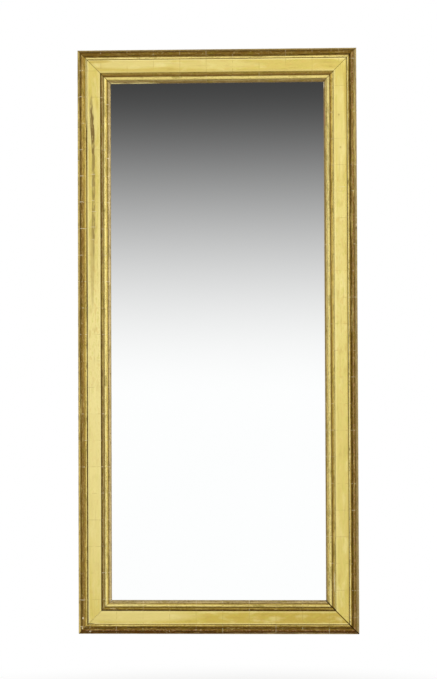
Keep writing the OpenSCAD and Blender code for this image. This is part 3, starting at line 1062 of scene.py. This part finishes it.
def backing_paint():
    """Grey lead paint over the silver, brushed on and a little crazed."""
    material, recipe = finish("backing_paint")
    place = recipe.place()
    brushed = recipe.noise(recipe.grained(place, 60, 60, 4), detail=4)
    colour = recipe.coat(LEAD_PAINT, LEAD_PAINT_DARK, recipe.step(brushed, 0.4, 0.65))
    varnish(recipe, Base_Color=colour, Roughness=0.6, Normal=recipe.bump(brushed, 0.1 * MM))
    return material


def plate_edge():
    """The ground green edge of the glass."""
    material, recipe = finish("ground_glass_edge")
    grinding = recipe.noise(recipe.place(), detail=4, scale=900)
    colour = recipe.coat(GLASS_GREEN, GLASS_GREEN_DARK, grinding)
    varnish(recipe, Base_Color=colour, Roughness=grinding * 0.3 + 0.3)
    return material


def mirror_glass():
    """The plate: a polished front with ground arrises, silvered and painted behind."""
    middle = (PLATE_LOW + PLATE_HIGH) / 2
    plate = begun(bpy.ops.mesh.primitive_cube_add, "silvered_plate", size=1, location=middle,
                  scale=PLATE_HIGH - PLATE_LOW)
    done()
    eased(plate, PLATE_EASE)
    smooth(plate, 20)
    seat(plate, ["mirror_plate"], [silvering(), backing_paint(), plate_edge()])
    for face in plate.data.polygons:
        if face.normal.y < -FRONT_FACING:
            face.material_index = 0
        elif face.normal.y > BACK_FACING:
            face.material_index = 1
        else:
            face.material_index = 2


# ---- wood ----

RING_W = 5.5 * MM
HEART_DEPTH = 34 * MM
HEART_U = 30 * MM

# Pale and dark wood of the growth rings
CARCASS_PINE = (rgb(170, 128, 80), rgb(122, 84, 48))
KEY_PINE = (rgb(190, 150, 100), rgb(150, 108, 64))
BOARD_PINE = (rgb(178, 138, 90), rgb(124, 84, 48))
WEDGE_PINE = (rgb(196, 156, 104), rgb(150, 110, 66))
FIBRE_BROWN = rgb(84, 56, 32)
DUST_BROWN = rgb(134, 104, 72)
YELLOW_WASH = rgb(190, 154, 80)


def pine_grain(recipe, vector, from_heart, tree, pine):
    """Growth rings round a heart that lies in front of the back's face, wandering along the piece."""
    grained = recipe.grained(vector, 420, 90, 90)
    inputs = {"Vector": grained, "W": tree, "Scale": 1.0, "Detail": 2.0}
    wander = recipe.node("ShaderNodeTexNoise", {"noise_dimensions": "4D"}, inputs)
    behind = recipe.axis(vector, "Y") + HEART_DEPTH
    away = ((from_heart + (wander - 0.5) * (90 * MM)) ** 2 + behind ** 2) ** 0.5
    ring = (away / RING_W) % 1
    late = recipe.step(ring, 0.2, 0.9) * recipe.step(ring, 1.0, 0.92)
    fibre = recipe.noise(recipe.grained(vector, 60, 1.3, 1.3), detail=4, rough=0.6)
    dusty = recipe.noise(recipe.grained(vector, 240, 70, 70), detail=4)
    pale, dark = pine
    colour = recipe.coats(
        pale,
        (dark, late * 0.75),
        (FIBRE_BROWN, recipe.step(fibre, 0.5, 0.8) * 0.4),
        (DUST_BROWN, recipe.step(dusty, 0.42, 0.7) * 0.5),
    )
    return colour, fibre, late


def member_pine(name, pine, turn=0.0, place=Vector(), washed=False):
    """Aged pine with its grain along the member, and on request a yellow wash on its outer edge."""
    material, recipe = finish(name)
    vector = recipe.place(turn, place)
    u = recipe.axis(vector, "Z")
    colour, fibre, late = pine_grain(recipe, vector, u - HEART_U, place.x * 7, pine)
    if washed:
        worn = recipe.step(fibre, 0.68, 0.5)
        colour = recipe.coat(colour, YELLOW_WASH, recipe.step(u, 1.4 * MM, 0.5 * MM) * worn)
    varnish(
        recipe,
        Base_Color=colour,
        Roughness=fibre * 0.25 + 0.6,
        Normal=recipe.bump(fibre + late * 0.5, 0.3 * MM, 0.7),
    )
    return material


# ---- the carcass ----

KEY_LEN = 56 * MM
KEY_END = 26 * MM
KEY_WAIST = 14 * MM
KEY_DEPTH = 10 * MM
KEY_PLAY = 0.2 * MM
# The keys have shrunk a little below the carcass's back
KEY_SHRINK = 0.2 * MM
LAND = CARCASS_U - REBATE_W


def butterfly(name, play, depth):
    """A key as cut on the bench: waisted in the middle, lying along X with its face at the back plane."""
    key = begun(bpy.ops.mesh.primitive_grid_add, name, x_subdivisions=2, y_subdivisions=1, size=1,
                rotation=UPRIGHT)
    bpy.ops.transform.resize(value=(KEY_LEN + 2 * play, 1, KEY_END + 2 * play))
    pick(key, "VERT", lambda place: abs(place.x) < MM)
    bpy.ops.transform.resize(value=(1, 1, (KEY_WAIST + 2 * play) / (KEY_END + 2 * play)))
    bpy.ops.mesh.select_all(action="SELECT")
    drawn_forwards(depth)
    outwards()
    return key


def corner_place(across, up):
    """The middle of a corner's mitre on the carcass's back; across and up are -1 or 1."""
    return Vector((across * (WIDTH - LAND) / 2, 0, HEIGHT / 2 + up * (HEIGHT - LAND) / 2))


def carcass():
    key = butterfly("key_pattern", 0, KEY_DEPTH)
    put(key, (0, -KEY_SHRINK, 0))
    modify(key, "SUBSURF", subdivision_type="SIMPLE", levels=3, render_levels=3)
    eased(key, KEY_EASE)
    uneven(key, *KEY_HOLLOWS)
    smooth(key)
    recess = butterfly("recess_pattern", KEY_PLAY, KEY_DEPTH + KEY_PLAY + MM)
    put(recess, (0, MM, 0))
    recesses = []
    for up, height_name in ((1, "top"), (-1, "bottom")):
        for across, side_name in ((-1, "left"), (1, "right")):
            corner = f"{height_name}_{side_name}"
            turn = (0, across * up * math.pi / 4, 0)
            place = corner_place(across, up)
            recesses.append(put(another(recess, corner + "_recess"), place, turn))
            let_in = put(another(key, corner + "_butterfly"), place, turn)
            grain = member_pine(corner + "_key_pine", KEY_PINE, turn[1], place)
            seat(let_in, [corner + "_key"], [grain])
    for side in SIDES:
        length = member(carcass_section, side + "_carcass_length", side, CARCASS_GAPS, along=COARSE)
        for cutter in recesses:
            cut_away(length, cutter)
        eased(length, CARCASS_EASE)
        uneven(length, *CARCASS_HOLLOWS)
        smooth(length)
        turn, place = SIDES[side]
        grain = member_pine(side + "_carcass_pine", CARCASS_PINE, turn, place, washed=True)
        seat(length, [CARCASS_NODES[side]], [grain])
    for pattern in (key, recess, *recesses):
        discard(pattern)


# ---- the boarded back ----

NAIL_OFFSET = 52 * MM
NAIL_X = WIDTH / 2 - CARCASS_U + REBATE_W / 2
BOARD_PITCH = BOARDS[1][0].z - BOARDS[0][0].z
FIRST_BOARD_Z = (BOARDS[0][0].z + BOARDS[0][1].z) / 2
NAIL_SIDE = 2.2 * MM
NAIL_LEN = 20 * MM
NAIL_HEAD_W = 5 * MM
NAIL_HEAD_H = 3.4 * MM
NAIL_HEAD_T = 1 * MM
# The largest turn of a nail and of a board, in degrees, and the smallest nail head as a share of the largest
NAIL_TURN = 14
BOARD_TURN = 0.04
NAIL_SMALLEST = 0.9
BOARD_CHAMFER = 1.2 * MM
BOARD_MESH = {"x_subdivisions": 96, "y_subdivisions": 28}
OLD_BOARD = rgb(112, 80, 50)
RUST_STAIN = rgb(58, 34, 20)
IRON = rgb(62, 48, 40)
RUST = rgb(132, 72, 36)


def board_pine():
    """Thin boards of one sawing but of different trees, with rust run into them round the nails."""
    material, recipe = finish("board_pine")
    vector = recipe.place()
    count = (recipe.axis(vector, "Z") - FIRST_BOARD_Z + BOARD_PITCH / 2) / BOARD_PITCH
    number = math.floor(count)
    chance = recipe.chance(number)
    on_board = (count - number - 0.5) * BOARD_PITCH
    from_heart = on_board + (chance - 0.5) * (0.8 * BOARD_PITCH)
    colour, fibre, late = pine_grain(recipe, vector, from_heart, number * 3.7, BOARD_PINE)
    colour = recipe.coat(colour, OLD_BOARD, chance * 0.35)
    from_end = abs(recipe.axis(vector, "X")) - NAIL_X
    from_nail = abs(on_board) - NAIL_OFFSET
    edge = recipe.noise(recipe.grained(vector, 9, 9, 3), detail=3)
    away = (from_end / (9 * MM)) ** 2 + (from_nail / (4 * MM)) ** 2
    colour = recipe.coat(colour, RUST_STAIN, recipe.step(away + edge * 1.4, 1.9, 0.5) * 0.75)
    saw = ((recipe.axis(vector, "X") + edge * (0.8 * MM)) / (2.6 * MM)) % 1
    varnish(
        recipe,
        Base_Color=colour,
        Roughness=fibre * 0.25 + 0.62,
        Normal=recipe.bump(fibre + late * 0.5 + saw * 0.12, 0.35 * MM, 0.7),
    )
    return material


def boarded_back():
    low, high = BOARDS[0]
    size = high - low
    middle_y = (low.y + high.y) / 2
    board = begun(bpy.ops.mesh.primitive_grid_add, "board_pattern", size=1, rotation=UPRIGHT, **BOARD_MESH)
    bpy.ops.transform.resize(value=(size.x, 1, size.z))
    drawn_forwards(size.y)
    bpy.ops.mesh.select_all(action="SELECT")
    bpy.ops.transform.translate(value=(0, size.y / 2, 0))
    pick(board, "EDGE", lambda place: place.y > MM and abs(place.z) > size.z / 2 - 0.1 * MM)
    bpy.ops.mesh.bevel(offset=BOARD_CHAMFER, segments=1)
    outwards()
    grain = board_pine()
    for i, (low, high) in enumerate(BOARDS):
        piece = another(board, f"pine_board_{i + 1}")
        skew = math.radians(random.uniform(-BOARD_TURN, BOARD_TURN))
        put(piece, (0, middle_y, (low.z + high.z) / 2), (0, skew, 0))
        uneven(piece, *BOARD_HOLLOWS)
        smooth(piece)
        seat(piece, [f"back_board_{i + 1}"], [grain])
    discard(board)


def rusty_iron():
    material, recipe = finish("rusty_iron")
    place = recipe.place()
    rust = recipe.noise(place, detail=5, rough=0.65, scale=420)
    colour = recipe.coat(IRON, RUST, recipe.step(rust, 0.42, 0.66))
    varnish(
        recipe,
        Base_Color=colour,
        Metallic=recipe.step(rust, 0.55, 0.4) * 0.6,
        Roughness=rust * 0.3 + 0.5,
        Normal=recipe.bump(rust, 0.15 * MM),
    )
    return material


def cut_nail():
    """A cut nail that points forwards: an oblong head with a raised middle, and a square tapered shank."""
    thin = 0.65 * NAIL_HEAD_T
    nail = begun(bpy.ops.mesh.primitive_cube_add, "nail_pattern", size=1)
    bpy.ops.transform.resize(value=(NAIL_HEAD_W, thin, NAIL_HEAD_H))
    bpy.ops.transform.translate(value=(0, thin / 2, 0))
    pick(nail, "FACE", lambda place: place.y > thin - HAIR)
    bpy.ops.mesh.inset(thickness=1.0 * MM)
    bpy.ops.transform.translate(value=(0, NAIL_HEAD_T - thin, 0))
    pick(nail, "FACE", lambda place: place.y < HAIR)
    bpy.ops.mesh.inset(thickness=(NAIL_HEAD_H - NAIL_SIDE) / 2)
    bpy.ops.transform.resize(value=(NAIL_SIDE / (NAIL_HEAD_W - NAIL_HEAD_H + NAIL_SIDE), 1, 1))
    drawn_forwards(NAIL_LEN)
    bpy.ops.transform.resize(value=(0.5, 1, 0.9))
    outwards()
    eased(nail, NAIL_EASE)
    return nail


def board_nails():
    pattern = cut_nail()
    nails = []
    for low, high in BOARDS:
        for across in (-1, 1):
            for up in (-1, 1):
                nail = another(pattern, "nail")
                nail.scale = (random.uniform(NAIL_SMALLEST, 1.0), 1, random.uniform(NAIL_SMALLEST, 1.0))
                place = (across * NAIL_X, -NAIL_HEAD_T, (low.z + high.z) / 2 + up * NAIL_OFFSET)
                turn = math.radians(random.uniform(-NAIL_TURN, NAIL_TURN))
                nails.append(put(nail, place, (0, turn, 0)))
    group = joined(nails, "cut_nails")
    smooth(group, 40)
    seat(group, ["board_nails"], [rusty_iron()])
    discard(pattern)


# ---- the hangers ----

STRAP_LOW, STRAP_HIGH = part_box("left_hanger_strap")
RING_LOW, RING_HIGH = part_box("left_hanging_ring")
STRAP_W = STRAP_HIGH.x - STRAP_LOW.x
LEAF_T = 1.2 * MM
NECK_LEN = 6 * MM
WIRE_R = 2 * MM
EYE_R = 2.08 * MM
EYE_Y = EYE_R + LEAF_T
HANGER_X = -(STRAP_LOW.x + STRAP_HIGH.x) / 2
HANGER_Z = STRAP_HIGH.z - EYE_R - LEAF_T
STRAP_LEN = HANGER_Z - STRAP_LOW.z
RING_HALF = (RING_HIGH.x - RING_LOW.x) / 2 - WIRE_R
RING_DROP = HANGER_Z - RING_LOW.z - WIRE_R
RING_CORNER_R = 7 * MM
SCREW_R = 1.7 * MM
SCREW_LEN = 20 * MM
SCREW_HEAD_R = 3.4 * MM
SCREW_HEAD_H = 1.8 * MM
SCREW_DROPS = (11 * MM, 22 * MM)
SLOT_SIZE = 0.9 * MM
DRILL_PLAY = 0.1 * MM
LEAF_SLACK = 0.03 * MM
# How far past its lowest point the strip goes on round the eye before it leaves it
NECK_BEND = 39.6

# Bright and tarnished brass
STRAP_BRASS = (rgb(190, 152, 82), rgb(104, 78, 42))
RING_BRASS = (rgb(206, 168, 96), rgb(124, 94, 52))
SCREW_BRASS = (rgb(178, 140, 74), rgb(90, 66, 36))


def old_brass(name, bright, dull):
    """Brass gone brown, with the lacquer worn to bright metal in places."""
    material, recipe = finish(name)
    place = recipe.place()
    tarnish = recipe.noise(place, detail=5, rough=0.62, scale=150)
    scratches = recipe.noise(recipe.grained(place, 8, 8, 0.5), detail=4)
    colour = recipe.coats(
        bright,
        (dull, recipe.step(tarnish, 0.4, 0.62)),
        (bright, recipe.step(scratches, 0.62, 0.72) * 0.5),
    )
    varnish(
        recipe,
        Base_Color=colour,
        Metallic=recipe.step(tarnish, 0.85, 0.45) * 0.5 + 0.5,
        Roughness=tarnish * 0.4 + 0.2,
        Normal=recipe.bump(scratches + tarnish, 0.05 * MM, 0.6),
    )
    return material


def folded_strap():
    """A brass strip bent round the eye, its two leaves lying together, with a rounded foot."""
    pencil = Pencil("strap_pattern", -STRAP_W / 2, -STRAP_LEN, -LEAF_T / 2, across=1.2 * MM)
    pencil.to(0, -LEAF_T / 2)
    pencil.round(0, -EYE_Y, 180 + NECK_BEND, step=EASE_STEP)
    pencil.to(-NECK_LEN, -1.5 * LEAF_T, step=0.6 * MM)
    pencil.to(-STRAP_LEN, -1.5 * LEAF_T)
    strap = pencil.drawn_out(STRAP_W, STRAP_W / 12)
    outwards()
    modify(strap, "SOLIDIFY", thickness=LEAF_T - LEAF_SLACK, offset=0.0)
    outline = begun(bpy.ops.mesh.primitive_circle_add, "foot_outline", vertices=96, radius=STRAP_W / 2,
                    fill_type="NGON", rotation=UPRIGHT)
    pick(outline, "VERT", lambda place: place.z > HAIR)
    bpy.ops.transform.resize(value=(1, 1, 0), center_override=(0, 0, 0))
    bpy.ops.transform.translate(value=(0, 0, STRAP_LEN))
    bpy.ops.mesh.select_all(action="SELECT")
    bpy.ops.transform.translate(value=(0, -MM, STRAP_W / 2 - STRAP_LEN))
    drawn_forwards(-10 * MM)
    outwards()
    modify(strap, "BOOLEAN", operation="INTERSECT", object=outline, solver="EXACT")
    discard(outline)
    for drop in SCREW_DROPS:
        drill = begun(bpy.ops.mesh.primitive_cylinder_add, "drill", vertices=32, radius=SCREW_R + DRILL_PLAY,
                      depth=10 * MM, rotation=UPRIGHT, location=(0, 0, -drop))
        done()
        cut_away(strap, drill)
        discard(drill)
    eased(strap, STRAP_EASE)
    smooth(strap, 35)
    return strap


def ring_wire():
    """A D of round wire: the leg in the eye, two bent corners, two shanks and a bow."""
    leg = RING_HALF - RING_CORNER_R
    bow_z = RING_HALF - RING_DROP
    shank = -RING_CORNER_R - bow_z
    ring = begun(bpy.ops.mesh.primitive_circle_add, "ring_pattern", vertices=24, radius=WIRE_R,
                 rotation=(0, math.pi / 2, 0), location=(-leg, 0, 0))
    bend = {"steps": 9, "angle": math.pi / 2, "axis": (0, -1, 0)}
    bpy.ops.mesh.extrude_repeat(steps=12, offset=(leg / 6, 0, 0))
    bpy.ops.mesh.spin(center=(leg, 0, -RING_CORNER_R), **bend)
    bpy.ops.mesh.extrude_repeat(steps=9, offset=(0, 0, -shank / 9))
    bpy.ops.mesh.spin(steps=36, angle=math.pi, center=(0, 0, bow_z), axis=(0, -1, 0))
    bpy.ops.mesh.extrude_repeat(steps=9, offset=(0, 0, shank / 9))
    bpy.ops.mesh.spin(center=(-leg, 0, -RING_CORNER_R), **bend)
    outwards()
    smooth(ring, 60)
    return ring


def round_headed_screw():
    """A spun screw with a domed, slotted head, its seat at the origin and its shank forwards."""
    dome_r = (SCREW_HEAD_R ** 2 + SCREW_HEAD_H ** 2) / (2 * SCREW_HEAD_H)
    pencil = Pencil("screw_pattern", 0, 0, -SCREW_HEAD_H, across=2 * MM)
    pencil.round(0, dome_r - SCREW_HEAD_H, -math.degrees(math.asin(SCREW_HEAD_R / dome_r)), step=ARRIS_STEP)
    pencil.to(SCREW_R, 0)
    pencil.to(SCREW_R, SCREW_LEN - 3 * SCREW_R)
    pencil.to(0, SCREW_LEN)
    bpy.ops.mesh.select_all(action="SELECT")
    bpy.ops.mesh.spin(steps=36, angle=2 * math.pi, center=(0, 0, 0), axis=(0, 1, 0))
    outwards()
    slot = begun(bpy.ops.mesh.primitive_cube_add, "slot_cutter", size=1, location=(0, SCREW_HEAD_H, 0),
                 scale=(3 * SCREW_HEAD_R, 2 * SLOT_SIZE, SLOT_SIZE))
    done()
    cut_away(pencil.piece, slot)
    discard(slot)
    eased(pencil.piece, SCREW_EASE)
    smooth(pencil.piece, 40)
    return pencil.piece


def hangers():
    strap = folded_strap()
    ring = ring_wire()
    screw = round_headed_screw()
    leaf_brass = old_brass("strap_leaf_brass", *STRAP_BRASS)
    wire_brass = old_brass("ring_wire_brass", *RING_BRASS)
    screw_brass = old_brass("screw_head_brass", *SCREW_BRASS)
    screws = []
    for side, across in (("left", -1), ("right", 1)):
        eye = Vector((across * HANGER_X, 0, HANGER_Z))
        leaf = put(another(strap, side + "_folded_strap"), eye)
        seat(leaf, [side + "_hanger_strap"], [leaf_brass])
        wire = put(another(ring, side + "_ring_wire"), eye + Vector((0, EYE_Y, 0)))
        seat(wire, [side + "_hanging_ring"], [wire_brass], body=side + "_ring")
        for drop in SCREW_DROPS:
            seat_at = eye + Vector((0, 2 * LEAF_T, -drop))
            screws.append(put(another(screw, "screw"), seat_at, (0, random.uniform(0, math.pi), 0)))
    group = joined(screws, "strap_screws")
    seat(group, ["hanger_screws"], [screw_brass])
    for pattern in (strap, ring, screw):
        discard(pattern)


# ---- the wedges ----


def wedges():
    """The wedges are the frame's own, and only get the wood's finish."""
    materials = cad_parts["glass_wedges"].data.materials
    materials.clear()
    materials.append(member_pine("wedge_pine", WEDGE_PINE))


# ---- making the mirror ----

gilt_front()
mirror_glass()
carcass()
boarded_back()
board_nails()
hangers()
wedges()

# ---- camera, light and floor ----

CAMERA_PLACE = (0.184, -5.0, 0.756)
CAMERA_TURN = (91.122, 0.218, 2.096)
CAMERA_LENS = 140.76
FLOOR_SIZE = 60
FLOOR_Z = -0.45
FLOOR_WHITE_FROM = 1.2
FLOOR_WHITE_TO = 2.2
FLOOR_TONES = (rgb(228, 228, 226), rgb(234, 234, 232))
WHITE = (1, 1, 1, 1)
# The room's light, as a share of how white it looks
WORLD_LIGHT = 0.7
# Soft lamps: place, size and watts
LAMPS = {"key": ((2.6, -3.4, 2.9), 1.8, 60), "back": ((-2.2, 3.2, 2.4), 1.8, 30)}

# The white room under its dark ceiling, as a sharp reflection meets it: the heights of the direction,
# counted from below the horizon, where the white ends and where the dark is full
HORIZON = 0.1
WHITE_ENDS = 0.085
DARK_FULL = 0.275
CEILING_GREY = (0.05, 0.05, 0.05, 1)


def camera():
    camera_data = bpy.data.cameras.new("camera")
    camera_data.sensor_fit = "HORIZONTAL"
    camera_data.sensor_width = 36.0
    camera_data.lens = CAMERA_LENS
    viewer = bpy.data.objects.new("camera", camera_data)
    viewer.location = CAMERA_PLACE
    viewer.rotation_euler = [math.radians(turn) for turn in CAMERA_TURN]
    bpy.context.scene.collection.objects.link(viewer)
    bpy.context.scene.camera = viewer


def soft_lamp(name, place, size, watts):
    """A square soft lamp that faces the middle of the mirror."""
    lamp_data = bpy.data.lights.new(name, "AREA")
    lamp_data.size = size
    lamp_data.energy = watts
    lamp = bpy.data.objects.new(name, lamp_data)
    lamp.location = place
    aim = Vector((0, 0, HEIGHT / 2)) - lamp.location
    lamp.rotation_euler = aim.to_track_quat("-Z", "Y").to_euler()
    bpy.context.scene.collection.objects.link(lamp)


def seen_directly(recipe):
    """1 for rays of the camera, of a reflection or through glass."""
    camera_ray = recipe.ray("Camera")
    return camera_ray.sum("MAXIMUM", camera_ray, recipe.ray("Glossy") + recipe.ray("Transmission"))


def pale_floor():
    """Pale near the mirror, and white to the camera and to reflections further off."""
    floor = begun(bpy.ops.mesh.primitive_plane_add, "floor", size=FLOOR_SIZE, location=(0, 0, FLOOR_Z))
    done()
    material, recipe = finish("pale_floor")
    place = recipe.place()
    away = recipe.node("ShaderNodeVectorMath", {"operation": "LENGTH"}, {0: place}, output="Value")
    far = recipe.step(away, FLOOR_WHITE_FROM, FLOOR_WHITE_TO)
    grain = recipe.noise(place, scale=40)
    pale = recipe.ramp(grain, list(enumerate(FLOOR_TONES)))
    matt = recipe.node("ShaderNodeBsdfDiffuse", None, {"Color": pale})
    white = recipe.node("ShaderNodeEmission", None, {"Color": WHITE, "Strength": 1.0})
    shown = far * seen_directly(recipe)
    recipe.surface(recipe.node("ShaderNodeMixShader", None, {0: shown, 1: matt, 2: white}))
    floor.data.materials.append(material)


def room():
    world = bpy.data.worlds.new("room")
    bpy.context.scene.world = world
    world.use_nodes = True
    recipe = Recipe(world.node_tree)
    up = recipe.axis(recipe.node("ShaderNodeTexCoord", output="Generated"), "Z") + HORIZON
    sharp = recipe.ray("Singular") * (1 - recipe.ray("Camera"))
    dark = recipe.step(up, WHITE_ENDS, DARK_FULL)
    colour = recipe.coat(WHITE, CEILING_GREY, dark * sharp)
    strength = seen_directly(recipe) * (1 - WORLD_LIGHT) + WORLD_LIGHT
    background = recipe.node("ShaderNodeBackground", None, {"Color": colour, "Strength": strength})
    recipe.node("ShaderNodeOutputWorld", None, {"Surface": background})


camera()
pale_floor()
room()
for lamp_name, lamp in LAMPS.items():
    soft_lamp(lamp_name, *lamp)

bpy.context.scene.view_settings.view_transform = "Standard"
